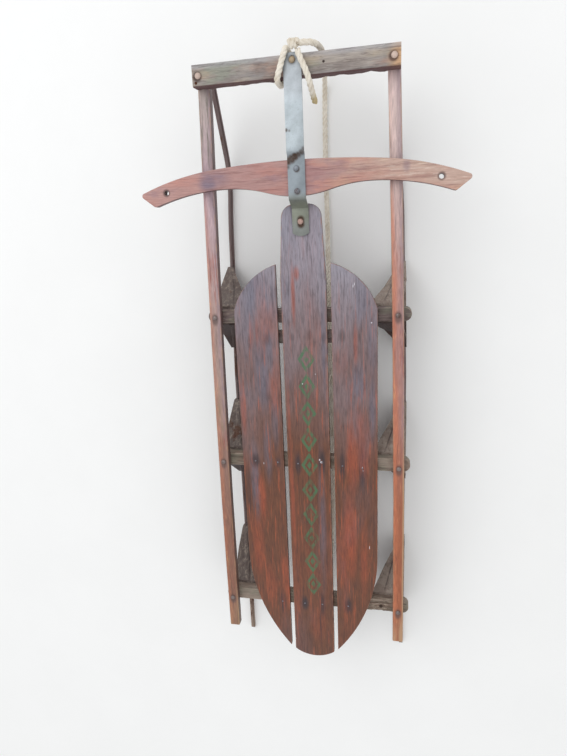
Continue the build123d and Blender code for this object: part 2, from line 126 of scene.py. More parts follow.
class SledSteel(PropertyGroup):
    strap: colour("Strap", "Dull galvanised steel", 174, 181, 187)
    strap_dark: colour("Strap, over the bar", "Darker zinc over the steering bar", 138, 147, 154)
    strap_end: colour("Strap, rear end", "Greenish stain at the pivot", 132, 136, 124)
    runner: colour("Runners", "Old dark paint", 122, 104, 103)
    knee: colour("Knees", "Worn paint on pressed steel", 158, 144, 134)
    # painted shade for the rear sides of the knees
    knee_rear_shade: colour("Knees, rear sides", "Painted shade on the rear sides", 58, 38, 37)
    rust: colour("Rust", "Rust on all the steel", 104, 62, 42)
    edge_round: length("Edge rounding", "How far the edges of the steel are round", 0.0005)


class SledRope(PropertyGroup):
    face: colour("Rope", "Cotton, weathered", 242, 236, 224)
    soil: colour("Soil", "Darker tone in the rope's grooves, also its specks", 176, 156, 128)
    diameter: length("Diameter", "The rope across its three strands", 0.0085)
    lay: length("Lay", "Length over which a strand turns once", 0.024)


class SledStage(PropertyGroup):
    floor: colour("Floor", "Plain pale floor", 248, 249, 249)
    key_power: FloatProperty(name="Key light", description="Power of the large soft lamp", default=19.0,
                             min=0.0, unit="POWER")
    fill: FloatProperty(name="Fill light", description="Strength of the light from all round", default=0.86,
                        min=0.0, max=2.0)


groups = {"sled_wood": SledWood, "sled_steel": SledSteel, "sled_rope": SledRope, "sled_stage": SledStage}


# Finishes


class Finish:
    """Nodes of one material. Patterns read the piece's own object coordinates, and coats lie over a base."""

    def __init__(self, name, roughness=0.6, metallic=0, specular=0.5):
        self.material = bpy.data.materials.new(name)
        self.material.use_nodes = True
        self.tree = self.material.node_tree
        self.shader = self.tree.nodes["Principled BSDF"]
        self.feed(roughness, self.shader.inputs["Roughness"])
        self.feed(metallic, self.shader.inputs["Metallic"])
        self.feed(specular, self.shader.inputs["Specular IOR Level"])
        coordinates = self.tree.nodes.new("ShaderNodeTexCoord")
        self.place = coordinates.outputs["Object"]
        self.x, self.y = self.node("SeparateXYZ", {"Vector": self.place}).outputs[:2]
        self.facing = self.node("SeparateXYZ", {"Vector": coordinates.outputs["Normal"]}).outputs
        self.base = self.relief = None

    def node(self, kind, inputs=(), **settings):
        """A node with its settings made and its inputs fed."""
        made = self.tree.nodes.new("ShaderNode" + kind)
        for key, value in settings.items():
            setattr(made, key, value)
        for key, value in dict(inputs).items():
            self.feed(value, made.inputs[key])
        return made

    def feed(self, value, socket):
        """Links another node's output to a socket, or sets the socket's own value."""
        if isinstance(value, bpy.types.NodeSocket):
            self.tree.links.new(value, socket)
        elif value is not None:
            socket.default_value = (*value, 1) if socket.type == "RGBA" and len(value) == 3 else value

    def stretched(self, scale=even, shift=(0, 0, 0)):
        return self.node("Mapping", {"Vector": self.place, "Scale": scale, "Location": shift}).outputs[0]

    def noise(self, vector, scale, detail=3, rough=0.55, distortion=0):
        return self.node("TexNoise", {"Vector": vector, "Scale": scale, "Detail": detail, "Roughness": rough,
                                      "Distortion": distortion}).outputs["Fac"]

    def band(self, value, low, high, bottom=0, top=1):
        """Eases from the bottom to the top while a value goes from low to high."""
        return self.node("MapRange", {"Value": value, "From Min": low, "From Max": high, "To Min": bottom,
                                      "To Max": top}, interpolation_type="SMOOTHSTEP").outputs["Result"]

    def reckon(self, operation, a, b=0):
        return self.node("Math", {0: a, 1: b}, operation=operation).outputs["Value"]

    def times(self, value, *factors):
        for factor in factors:
            value = self.reckon("MULTIPLY", value, factor)
        return value

    def plus(self, a, b):
        return self.reckon("ADD", a, b)

    def minus(self, a, b):
        return self.reckon("SUBTRACT", a, b)

    def size(self, value):
        return self.reckon("ABSOLUTE", value)

    def wandering(self, value, pattern, reach):
        """A value that a pattern shifts to and fro."""
        return self.plus(value, self.times(self.minus(pattern, 0.5), reach))

    def mix(self, factor, a, b, blend="MIX"):
        return self.node("Mix", {0: factor, 6: a, 7: b}, data_type="RGBA", blend_type=blend).outputs[2]

    def coat(self, share, *tone, blend="MIX"):
        """Lays a tone over the base, a setting or screen levels; the share says how much of it shows."""
        self.base = self.mix(share, self.base, tone[0] if len(tone) == 1 else paint(*tone), blend)

    def shade(self, pattern, low, high, bottom, top):
        """Darkens and lightens the base along a pattern."""
        self.coat(1, self.band(pattern, low, high, bottom, top), blend="MULTIPLY")

    def along(self, value, stops):
        """Tones that follow one another along a piece; a stop is a place in millimetres and a tone."""
        found = paint(*stops[0][1])
        for (here, tone), (after, following) in zip(stops, stops[1:]):
            found = self.mix(self.band(value, here / 1000, after / 1000), found, paint(*following))
        return found

    def attribute(self, name):
        return self.node("Attribute", attribute_name=name).outputs["Fac"]

    def near(self, point, inner, outer, stretch=even, most=1):
        """The most at a point of the piece, fading to nothing between two distances."""
        target = tuple(p * s for p, s in zip(point, stretch))
        place = self.place if stretch == even else self.stretched(stretch)
        away = self.node("VectorMath", {0: place, 1: target}, operation="DISTANCE").outputs["Value"]
        return self.band(away, inner, outer, most, 0)

    def spots(self, rows, height, inner=0.25, outer=1.25):
        """The strongest of several oval spots on a top.

        A row is in millimetres from the middle bench: across, along, half width, half length, then strength.
        """
        found = 0
        for x, y, wide, long, *strength in rows:
            spot = self.near((x / 1000, y / 1000 + bench_y, height), inner * wide / 1000, outer * wide / 1000,
                             (1, wide / long, 0.5))
            found = self.reckon("MAXIMUM", found, self.times(spot, *strength))
        return found

    def bump(self, height, strength, depth):
        made = self.node("Bump", {"Height": height, "Strength": strength, "Distance": depth})
        self.feed(self.relief, made.inputs["Normal"])
        self.relief = made.outputs["Normal"]

    def done(self, roughness=None):
        for key, value in (("Base Color", self.base), ("Roughness", roughness), ("Normal", self.relief)):
            self.feed(value, self.shader.inputs[key])
        return self.material


class Board(Finish):
    """A finish on wood, with the fine, middle and wide grain of the board."""

    def __init__(self, name, grain, seed, specular):
        super().__init__(name, specular=specular)
        self.grain = grain
        vector = self.drawn(0.05, (seed, seed * 1.7, seed * 0.6))
        broad = self.drawn(0.14, (seed * 1.3, seed, seed * 0.4))
        self.fibre = self.noise(vector, 1100, 3, 0.65)
        self.streak = self.noise(vector, 260, 5, 0.68, 0.2)
        self.figure = self.noise(broad, 60, 4, 0.6, 0.5)
        self.mottle = self.noise(broad, 340, 4, 0.7)

    def drawn(self, share, shift=(0, 0, 0)):
        """Places for a pattern that is drawn out along the grain."""
        return self.stretched((share, 1, 1) if self.grain == "X" else (1, share, 1), shift)

    def patches(self, scale, low, high, seed, share=0.3, most=1):
        """Cloudy patches, longer along the grain."""
        pattern = self.noise(self.drawn(share, (seed, -seed, seed)), scale, 4, 0.6)
        return self.band(pattern, low, high, 0, most)

    def rub(self, worn, seed, most):
        """Bare wood where the edges are rubbed, broken up along their length."""
        broken = self.band(self.noise(self.stretched(even, (seed, 0, seed)), 60, 4), 0.36, 0.6)
        self.coat(self.times(self.attribute("edge_wear"), broken, most), worn)

    def weathered(self, fine=(0.4, 0.0006), coarse=(0.6, 0.0012), rough=(0.7, 0.86), extra=0):
        """Adds the grain's relief, each as strength and depth, and the roughness; gives the material."""
        self.bump(self.fibre, *fine)
        self.bump(self.band(self.streak, 0.35, 0.7), *coarse)
        return self.done(self.plus(extra, self.band(self.streak, 0.4, 0.7, *rough)))


# Wear of the slats, in millimetres from the middle bench: across, along, half width, half length, strength.
# The places were picked in the photograph and worked out on the deck. Scuffs have full strength.
slat_warm = (
    (71, 15, 11, 75, 0.9), (66, -131, 14, 90, 0.9), (58, -190, 7, 60, 0.7), (89, -167, 8, 90, 0.6),
    (81, 63, 9, 40, 0.5), (-81, -67, 7, 50, 0.8), (-93, -153, 12, 70, 0.7), (-85, 220, 4, 30, 0.6),
    (-105, 92, 6, 50, 0.6), (-76, 215, 3, 35, 0.5), (78, 200, 4, 38, 0.7), (-29, -64, 4, 120, 0.7),
    (-30, 90, 3, 60, 0.5), (8, -303, 17, 45, 0.35), (-16, 275, 4, 50, 0.8), (-10, 308, 5, 12, 1),
    (-75, -230, 12, 45, 0.6))
slat_cloud = (
    (-54, 270, 13, 40, 0.8), (-70, 150, 17, 70, 0.8), (-58, 190, 9, 60, 0.7), (-92, -31, 9, 80, 0.9),
    (-68, 20, 8, 60, 0.6), (88, 267, 12, 45, 0.7), (103, 100, 6, 60, 0.7), (82, 137, 14, 36, 0.8),
    (20, -97, 7, 150, 0.55), (29, 210, 5, 90, 0.8), (-83, 270, 10, 25, 0.5), (102, 190, 7, 50, 0.6),
    (-53, 80, 8, 60, 0.5))
slat_nails = (
    (-90, 2, 9, 15, 0.85), (-52, 1, 6, 12, 0.6), (-18, 0, 6, 24, 0.9), (22, 4, 7, 26, 0.95),
    (55, -1, 6, 30, 0.9), (87, -4, 7, 50, 0.9), (-55, -265, 7, 24, 0.75), (-15, -265, 7.5, 16, 1),
    (16, -264, 6, 28, 0.9), (61, -263, 8, 18, 1))
slat_stains = (
    (-60, 207, 7, 13, 0.55), (58, 212, 6, 12, 0.6), (-88, 204, 4, 14, 0.45), (84, 209, 3, 12, 0.35),
    (-20, 211, 4, 8, 0.4), (8, 214, 4, 9, 0.5), (30, 209, 4, 10, 0.35), (-10, 136, 1.5, 7, 0.6),
    (12, -300, 1.1, 60, 0.8), (-104, -60, 5, 60, 0.4), (26, -330, 5, 25, 0.35))
slat_scuffs = (
    (102, 232, 1.1, 1.3), (75, 287, 0.6, 2.6), (77, 290, 0.6, 2.6), (15, 152, 0.6, 0.9), (-6, 136, 0.9, 1.2),
    (21, 4, 2.7, 2.2), (18, 8, 1.4, 2), (-76, -2, 0.5, 2.2), (98, -146, 0.6, 3.6), (87, -2, 0.7, 0.9),
    (88, -8, 0.6, 0.8), (-35, -340, 2.2, 1.2))


def lozenges(finish):
    """A faded row of painted lozenges with a dot in each, down the middle slat."""
    band, minus = finish.band, finish.minus
    pitch, first, count = 0.0445, -0.247 + bench_y, 10
    centre, half_width, blur = 0.001, 0.0135, 0.0005
    step = finish.reckon("DIVIDE", minus(finish.y, first), pitch)
    part = finish.size(minus(finish.reckon("FRACT", step), 0.5))
    across = finish.size(finish.reckon("DIVIDE", minus(finish.x, centre), half_width))
    reach = finish.plus(across, finish.times(part, 2.05))
    ring = band(finish.size(minus(reach, 0.8)), 0.16, 0.26, 1, 0)
    dot = band(reach, 0.24, 0.36, 1, 0)
    last = first + count * pitch
    worn = finish.noise(finish.drawn(0.5, (4, 2, 1)), 85, 5, 0.7)
    return finish.times(finish.reckon("MAXIMUM", ring, dot), band(finish.y, first - blur, first + blur),
                        band(finish.y, last - blur, last + blur, 1, 0), band(worn, 0.38, 0.54, 0.12, 0.95))


def slat_wood(wood):
    """Varnish, greyed towards the nose, with painted sky reflection there too, worn through and clouded in
    patches, with the painted chain.
    """
    finish = Board("slat_varnish", "Y", 0, 0.45)
    band, times, coat = finish.band, finish.times, finish.coat
    streak, mottle = finish.streak, finish.mottle
    wander = finish.noise(finish.drawn(0.5), 9)
    forward = finish.wandering(finish.y, wander, 0.42)
    # the nose tone is greyed varnish and painted sky reflection together
    finish.base = finish.mix(band(forward, -0.12, 0.34), wood.slat_rear, wood.slat_front_grey_and_sheen)
    # where warm wood shows through, where the varnish has clouded, and dark stains at the nails
    grain = finish.plus(streak, times(finish.figure, 0.6))
    for tone, rows, low, high, most in (
            (wood.slat_warm, slat_warm, 0.6, 0.9, 0.9), (wood.slat_cloud, slat_cloud, 0.58, 0.92, 0.85),
            (wood.stain, slat_nails + slat_stains, 0.42, 0.76, 1)):
        coat(times(finish.spots(rows, deck_top), band(grain, low, high, 0.25, 1), most), tone)
    warm = times(finish.patches(22, 0.5, 0.72, 3.1, 0.2), band(forward, -0.2, 0.28, 0.6, 0.25),
                 band(finish.size(finish.x), 0.03, 0.042, 0.45, 1))
    coat(warm, wood.slat_warm)
    cloud = times(finish.patches(15, 0.5, 0.7, 7.7, 0.34), band(forward, -0.1, 0.22, 0.15, 0.6))
    coat(cloud, wood.slat_cloud)
    glow = times(band(streak, 0.46, 0.34), band(forward, -0.05, 0.25, 0.42, 0.08))
    coat(glow, 186, 92, 58)
    coat(band(streak, 0.52, 0.66, 0, 0.34), wood.stain)
    coat(band(mottle, 0.34, 0.46, 0.26, 0), wood.stain)
    finish.shade(mottle, 0.35, 0.68, 0.92, 1.16)
    finish.shade(finish.fibre, 0.3, 0.7, 0.88, 1.1)
    coat(times(lozenges(finish), band(mottle, 0.36, 0.52, 0.35, 0.9)), wood.slat_mark)
    coat(finish.spots(slat_scuffs, deck_top, 0.5, 1.1), 208, 206, 214)
    # painted shade on the upright sides of the slats
    upright = band(finish.facing[2], 0.2, 0.6, 0.5, 0)
    coat(upright, 80, 56, 52)
    finish.rub(paint(164, 118, 94), 2.3, 0.6)
    return finish.weathered((0.2, 0.0003), (0.25, 0.0005), (0.4, 0.56), times(cloud, 0.25))


def rail_wood(wood):
    """Varnish, bleached towards the front, warmer on the left part of each rail and greyer on the right."""
    finish = Board("rail_varnish", "Y", 5, 0.4)
    band, times, coat, patches = finish.band, finish.times, finish.coat, finish.patches
    streak, figure, mottle = finish.streak, finish.figure, finish.mottle
    across = finish.attribute("across")
    right = band(finish.x, -0.01, 0.01)
    left = band(finish.x, -0.01, 0.01, 1, 0)
    wander = finish.noise(finish.drawn(0.4, (9, 0, 0)), 14)
    forward = finish.wandering(finish.minus(finish.y, bench_y), wander, 0.16)
    left_tone, right_tone = (finish.along(forward, stops) for stops in (
        ((-150, (138, 98, 82)), (200, (168, 142, 134)), (440, (191, 166, 174)), (590, (172, 160, 154))),
        ((-150, (158, 94, 66)), (210, (170, 126, 119)), (500, (214, 190, 186)), (600, (190, 168, 172)))))
    finish.base = finish.mix(right, left_tone, right_tone)
    lean = finish.wandering(across, figure, 2)
    warm = times(band(lean, -0.7, 0.1, 0.7, 0), band(forward, 0.46, 0.36, 0.1, 1),
                 band(finish.x, -0.01, 0.01, 0.45, 0.9))
    coat(warm, wood.rail_warm)
    cool = times(band(lean, 0.1, 0.8, 0, 0.6), band(forward, -0.05, 0.12))
    coat(cool, 148, 128, 136)
    red = times(patches(26, 0.54, 0.68, 2.2), band(streak, 0.42, 0.58, 0, 0.6))
    coat(red, 158, 82, 66)
    moss = times(patches(40, 0.52, 0.66, 8, 0.25), band(forward, 0.22, 0.02, 0, 0.5), left)
    coat(moss, 122, 112, 70)
    gold = times(band(mottle, 0.58, 0.68), band(across, -0.9, 0.2, 0.6, 0.15),
                 band(forward, 0.24, 0.36, 1, 0.15))
    coat(gold, 206, 154, 106)
    grey = times(band(streak, 0.5, 0.62, 0, 0.7), band(forward, 0.44, 0.52), left)
    coat(grey, 132, 130, 116)
    coat(band(streak, 0.53, 0.68, 0, 0.42), wood.stain)
    finish.shade(finish.fibre, 0.3, 0.7, 0.84, 1.12)
    finish.shade(mottle, 0.35, 0.68, 0.92, 1.1)
    tail = times(band(finish.y, -0.385, -0.335, 0.85, 0), band(streak, 0.56, 0.44, 0.25, 1))
    coat(tail, wood.rail_bare)
    outer = times(band(finish.plus(across, times(figure, 0.5)), 0.85, 1.1),
                  band(finish.y, -0.02, -0.12, 0, 0.8), right, band(finish.facing[2], 0.3, 0.7))
    coat(outer, wood.rail_bare)
    # painted shade on the upright sides of the rails
    upright = band(finish.facing[2], 0.2, 0.6, 0.78, 0)
    coat(upright, 86, 66, 62)
    # painted shade just behind each rail bolt's head, a dark spot drawn out along the rail
    for bench in benches:
        for side in sides:
            spot = middle(f"rail_bolt_{bench}_{side}")
            point = (spot.x, spot.y - 0.003, top("rail_left"))
            coat(finish.near(point, 0.0028, 0.0072, (1, 0.55, 1), 0.75), 88, 72, 70)
    finish.rub(wood.rail_bare, 6.1, 0.4)
    return finish.weathered((0.3, 0.0004), (0.4, 0.0008), (0.44, 0.62))


def bar_wood(wood):
    """Red-brown varnish, paler towards the right tip, with bruises and dark rope holes."""
    finish = Board("bar_varnish", "X", 11, 0.4)
    band, times, coat, patches = finish.band, finish.times, finish.coat, finish.patches
    figure, mottle = finish.figure, finish.mottle
    bar_top = top("steering_bar")
    hole_x, hole_y = 0.196, 0.4315 + bench_y
    finish.base = finish.along(finish.wandering(finish.x, figure, 0.06),
                               ((-230, (186, 146, 140)), (-60, (174, 135, 131)), (180, (194, 165, 152))))
    coat(patches(20, 0.46, 0.64, 1.2, most=0.5), 190, 122, 106)
    dusky = times(patches(34, 0.5, 0.62, 8.3, 0.45), band(finish.x, 0.12, 0.05, 0, 0.5))
    coat(dusky, 146, 116, 126)
    tan = times(patches(30, 0.46, 0.6, 6, 0.5), band(finish.x, 0.03, 0.1, 0, 0.6))
    coat(tan, 204, 176, 150)
    bruises = ((-130, 441.5, 17, 16, 0.9), (150, 448, 6, 10, 0.5), (-118, 446, 22, 14, 0.5))
    coat(times(finish.spots(bruises, bar_top), band(figure, 0.3, 0.6, 0.5, 1)), 122, 108, 126)
    coat(band(finish.streak, 0.52, 0.66, 0, 0.5), 118, 78, 78)
    coat(band(mottle, 0.34, 0.46, 0.25, 0), 128, 90, 84)
    pale = times(band(mottle, 0.56, 0.66), band(finish.x, 0.06, 0.16, 0.1, 0.55))
    coat(pale, 222, 204, 192)
    finish.shade(finish.fibre, 0.3, 0.7, 0.88, 1.1)
    for sign in sides.values():
        coat(finish.near((sign * hole_x, hole_y, bar_top), 0.004, 0.007, most=0.7), wood.stain)
    finish.rub(paint(208, 176, 160), 4.4, 0.3)
    # painted shade on the upright sides of the bar
    upright = band(finish.facing[2], 0.25, 0.75, 0.9, 0)
    coat(upright, 84, 44, 46)
    return finish.weathered((0.3, 0.0004), (0.45, 0.0008), (0.42, 0.6))


def bumper_wood(wood):
    """Weathered grey wood with faint tones of old paint, and painted shade on the rear side."""
    finish = Board("bumper_weathered", "X", 21, 0.3)
    band, coat = finish.band, finish.coat
    finish.base = finish.mix(band(finish.figure, 0.3, 0.7), wood.bumper_face, paint(146, 140, 138))
    for scale, seed, tone, most in ((34, 1, (182, 148, 132), 0.6), (38, 5, (146, 152, 138), 0.65),
                                    (30, 9, (192, 176, 154), 0.6), (44, 3, (126, 114, 110), 0.5)):
        coat(finish.patches(scale, 0.5, 0.64, seed, 0.4, most), *tone)
    reach = finish.plus(finish.x, finish.times(finish.figure, 0.02))
    coat(band(reach, 0.13, 0.15, 0, 0.85), 214, 172, 132)
    coat(band(reach, -0.126, -0.142, 0, 0.6), 190, 156, 140)
    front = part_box("bumper")[1].y
    coat(band(finish.y, front - 0.009, front - 0.003, 0, 0.55), 190, 188, 192)
    coat(band(finish.streak, 0.52, 0.66, 0, 0.5), 92, 80, 78)
    coat(band(finish.mottle, 0.34, 0.46, 0.4, 0), 88, 78, 76)
    finish.shade(finish.fibre, 0.3, 0.7, 0.8, 1.12)
    for side in sides:
        bolt = middle(f"bumper_bolt_{side}")
        point = (bolt.x - 0.001, bolt.y - 0.001, top("bumper"))
        coat(finish.near(point, 0.0045, 0.0085, most=0.8), 70, 50, 48)
    # painted shade on the faces that turn to the rear
    coat(band(finish.facing[1], -0.7, -0.3, 0.9, 0), wood.bumper_rear_shade)
    finish.rub(paint(190, 172, 160), 8.2, 0.4)
    return finish.weathered()


def bench_wood(wood):
    """Bare wood, with painted shade darkening it towards the front, and the torn place of the rear bench."""
    finish = Board("bench_bare", "X", 31, 0.3)
    band, times, coat = finish.band, finish.times, finish.coat
    streak, mottle = finish.streak, finish.mottle
    # painted shade, darker towards the front
    finish.base = finish.mix(band(finish.y, -0.04, 0.14), wood.bench_face, paint(116, 102, 100))
    coat(finish.patches(28, 0.46, 0.64, 3, 0.4, 0.6), 112, 84, 68)
    coat(finish.patches(34, 0.5, 0.66, 7, 0.5, 0.6), 134, 134, 118)
    coat(band(streak, 0.5, 0.66, 0, 0.5), 66, 54, 50)
    coat(band(mottle, 0.56, 0.68, 0, 0.35), 188, 174, 158)
    finish.shade(finish.fibre, 0.3, 0.7, 0.8, 1.14)
    finish.rub(paint(182, 166, 152), 1.2, 0.6)
    torn = finish.attribute("torn")
    coat(times(torn, band(mottle, 0.46, 0.6, 0, 0.8)), 198, 184, 166)
    coat(times(torn, band(streak, 0.44, 0.58, 0, 0.75)), 84, 68, 58)
    # painted shade of a small hole in the torn place, as a dark spot
    hole = (0.1165, middle("bench_rear").y - 0.002, top("bench_rear") - 0.002)
    coat(finish.near(hole, 0.002, 0.0045), 60, 46, 38)
    return finish.weathered()


def chipped(finish, run, cloud, rear):
    """Chipped paint on pressed sheet: streaks down the flanks, with painted shade on the inner sides and on
    the rear sides.
    """
    band, times, coat = finish.band, finish.times, finish.coat
    coat(band(run, 0.5, 0.66, 0, 0.55), 100, 80, 72)
    coat(band(run, 0.46, 0.34, 0, 0.35), 184, 170, 154)
    coat(band(cloud, 0.5, 0.64, 0, 0.5), 112, 92, 84)
    outward = times(finish.facing[0], finish.reckon("SIGN", finish.x))
    # painted shade on the inner sides of the knees
    inner = times(band(outward, -0.75, -0.1, 0.75, 0), band(run, 0.38, 0.5, 0.5, 1))
    coat(inner, 70, 60, 60)
    # the left knees are darker all over, most along the streaks
    kept = times(band(finish.x, -0.02, 0.02, 0.7, 0), band(run, 0.36, 0.52, 0.35, 1))
    coat(kept, 84, 72, 70)
    # painted shade on the faces that turn to the rear, and on the knee behind the bench
    sheltered = band(finish.facing[1], -0.32, -0.02, 0.96, 0)
    behind_bench_shade = times(band(finish.attribute("rearward"), 0.15, 0.35, 0, 0.9), band(outward, 0, 0.25, 1, 0))
    coat(finish.reckon("MAXIMUM", sheltered, behind_bench_shade), rear)


def steel(name, face, rust, rusty, roughness, metallic, seed, grain=even, marks=(), sole=False, tones=(),
          rear=None):
    """Painted or galvanised steel with rust in patches and pits.

    Marks are extra spots of rust, some also painted shade, tones follow one another along the piece, rear is
    the painted shade of its rear sides.
    """
    finish = Finish(name, metallic=metallic)
    band, times, coat = finish.band, finish.times, finish.coat
    vector = finish.stretched(grain, (seed, seed, 0))
    cloud = finish.noise(vector, 45, 4, 0.6)
    speck = finish.noise(vector, 520, 3, 0.65)
    broad = finish.noise(finish.stretched((1, 0.4, 1), (seed, 0, seed)), 24, 5, 0.65, 0.4)
    finish.base = face
    for here, after, tone in tones:
        coat(band(finish.y, here, after), tone)
    finish.shade(cloud, 0.3, 0.7, 0.84, 1.12)
    if rear is not None:
        run = finish.noise(finish.stretched((1, 1, 0.25), (seed, 0, seed)), 190, 4, 0.7)
        chipped(finish, run, cloud, rear)
    coat(band(speck, 0.55, 0.72, 0, 0.35), scaled(face, 0.5))
    share = band(finish.plus(broad, times(speck, 0.18)), 0.66 - rusty, 0.78 - rusty, 0, 0.85)
    for point, inner, outer, strength in marks:
        ring = times(finish.near(point, inner, outer, most=strength), band(cloud, 0.25, 0.6, 0.55, 1))
        share = finish.reckon("MAXIMUM", share, ring)
    coat(share, finish.mix(band(speck, 0.35, 0.65), rust, scaled(rust, 0.5)))
    if sole:
        coat(times(band(finish.facing[2], -0.9, -0.6, 0.8, 0), band(broad, 0.3, 0.6)), 150, 148, 146)
    edge = times(finish.attribute("edge_wear"), band(cloud, 0.35, 0.6, 0, 0.5))
    coat(edge, scaled(face, 1.35))
    finish.bump(speck, 0.25, 0.0003)
    finish.bump(share, 0.35, 0.0004)
    return finish.done(finish.plus(times(share, 0.25), roughness))


def cotton(rope, name="rope_cotton", soil=0.5, end=None):
    """Twisted cotton: fine yarns that run along each strand, darker in the grooves between the strands, and
    soiled at an end.
    """
    finish = Finish(name, 0.9, specular=0.15)
    band, coat = finish.band, finish.coat
    speck = finish.noise(finish.stretched(), 900, 3, 0.6)
    cloud = finish.noise(finish.stretched(even, (3, 1, 0)), 50, 4)
    finish.base = rope.face
    coat(band(cloud, 0.35, 0.7, 0, soil), 196, 182, 160)
    # darker in the grooves between the strands
    coat(band(finish.attribute("groove"), 0.35, 1, 0, 0.75), rope.soil)
    coat(band(speck, 0.5, 0.7, 0, 0.3), rope.soil)
    if end is not None:
        coat(finish.near(end, 0.008, 0.026), 208, 190, 148)
    finish.bump(speck, 0.5, 0.0006)
    return finish.done()


# Meshes


def file_piece(bm, name, material, body=None, node=None, smooth=math.radians(38)):
    """A finished mesh as an object at the origin, its node and the body that it rides on."""
    mesh = bpy.data.meshes.new(name)
    bmesh.ops.recalc_face_normals(bm, faces=bm.faces)
    bm.to_mesh(mesh)
    bm.free()
    mesh.materials.append(material)
    mesh.polygons.foreach_set("use_smooth", [True] * len(mesh.polygons))
    mesh.set_sharp_from_angle(angle=smooth)
    made = bpy.data.objects.new(name, mesh)
    bpy.context.scene.collection.objects.link(made)
    if node:
        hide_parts(node)
    if body:
        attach(made, body)
    return made


def merged(node):
    """A merged copy of a node's mesh, with its flat faces whole again."""
    bm = bmesh.new()
    bm.from_mesh(nodes[node].data)
    bmesh.ops.remove_doubles(bm, verts=bm.verts, dist=2e-6)
    bmesh.ops.dissolve_limit(bm, angle_limit=math.radians(0.5), verts=bm.verts, edges=bm.edges)
    for layer in list(bm.loops.layers.uv.values()):
        bm.loops.layers.uv.remove(layer)
    return bm


def rounded(bm, edges, width, segments):
    """Rounds edges and gives the new faces."""
    return bmesh.ops.bevel(bm, geom=edges, offset=width, offset_type="OFFSET", segments=segments, profile=0.5,
                           affect="EDGES", clamp_overlap=True, material=-1)["faces"]


def ease(bm, width, holes=(), segments=2, angle=28):
    """Rounds the sharp edges, apart from those of the holes, and notes the new faces as edge wear."""
    def at_hole(vert):
        return any(math.hypot(vert.co.x - x, vert.co.y - y) < radius for x, y, radius in holes)
    sharp = [e for e in bm.edges if len(e.link_faces) == 2 and e.calc_face_angle(0) > math.radians(angle)
             and not (at_hole(e.verts[0]) and at_hole(e.verts[1]))]
    layer = bm.faces.layers.float.new("edge_wear")
    for face in rounded(bm, sharp, width, segments):
        face[layer] = 1.0


def cut(bm, axis, spots):
    """Cuts a mesh across an axis at each spot, so that it can bend there."""
    normal = Vector([1 if a == axis else 0 for a in "xyz"])
    for spot in spots:
        bmesh.ops.bisect_plane(bm, geom=[*bm.verts, *bm.edges, *bm.faces], dist=1e-6, plane_co=normal * spot,
                               plane_no=normal)


def steps(low, high, size):
    """Evenly spaced places, about a size apart."""
    count = max(1, round((high - low) / size))
    return [low + (high - low) * i / count for i in range(count + 1)]


def bolt_holes(*names):
    """Middle and reach of each bolt's hole in a plan."""
    return [(middle(name).x, middle(name).y, 0.0046) for name in names]


def disc(bm, place, radius, top_radius, thick):
    """A flat round head."""
    bmesh.ops.create_cone(bm, cap_ends=True, cap_tris=False, segments=14, radius1=radius, radius2=top_radius,
                          depth=thick, matrix=Matrix.Translation(place))


def circle_through(a, b, c):
    """Centre and radius of the circle through three points of a plan."""
    double = 2 * (a[0] * (b[1] - c[1]) + b[0] * (c[1] - a[1]) + c[0] * (a[1] - b[1]))
    far_a, far_b, far_c = (p[0] ** 2 + p[1] ** 2 for p in (a, b, c))
    x = (far_a * (b[1] - c[1]) + far_b * (c[1] - a[1]) + far_c * (a[1] - b[1])) / double
    y = (far_a * (c[0] - b[0]) + far_b * (a[0] - c[0]) + far_c * (b[0] - a[0])) / double
    return x, y, math.hypot(a[0] - x, a[1] - y)


# Rope


def spline_points(route, closed, step):
    """Places along the smooth line of a route, evenly spaced, and the line's length."""
    data = bpy.data.curves.new("route", "CURVE")
    data.dimensions = "3D"
    data.resolution_u = 24
    spline = data.splines.new("NURBS")
    spline.points.add(len(route) - 1)
    for point, place in zip(spline.points, route):
        point.co = (*place, 1)
    spline.order_u = 3
    spline.use_cyclic_u, spline.use_endpoint_u = closed, not closed
    carrier = bpy.data.objects.new("route", data)
    bpy.context.scene.collection.objects.link(carrier)
    bpy.context.view_layer.update()
    mesh = bpy.data.meshes.new_from_object(carrier.evaluated_get(bpy.context.evaluated_depsgraph_get()))
    raw = [v.co.copy() for v in mesh.vertices]
    bpy.data.objects.remove(carrier)
    bpy.data.meshes.remove(mesh)
    if closed:
        raw.append(raw[0].copy())
    reach = [0]
    for a, b in zip(raw, raw[1:]):
        reach.append(reach[-1] + (b - a).length)
    count = max(8, round(reach[-1] / step))
    found, i = [], 0
    for k in range(count if closed else count + 1):
        want = reach[-1] * k / count
        while i < len(raw) - 2 and reach[i + 1] < want:
            i += 1
        span = reach[i + 1] - reach[i]
        found.append(raw[i].lerp(raw[i + 1], (want - reach[i]) / span if span else 0))
    return found, reach[-1]


def carried_frames(points, closed):
    """The line's direction at each point, and a side direction that turns as little as it can."""
    count = len(points)
    tangents, found = [], []
    for i in range(count):
        before = points[i - 1] if i or closed else points[i]
        after = points[(i + 1) % count] if i + 1 < count or closed else points[i]
        tangents.append((after - before).normalized())
    side = tangents[0].orthogonal().normalized()
    for tangent in tangents:
        side = (side - tangent * side.dot(tangent)).normalized()
        found.append(side.copy())
    return tangents, found


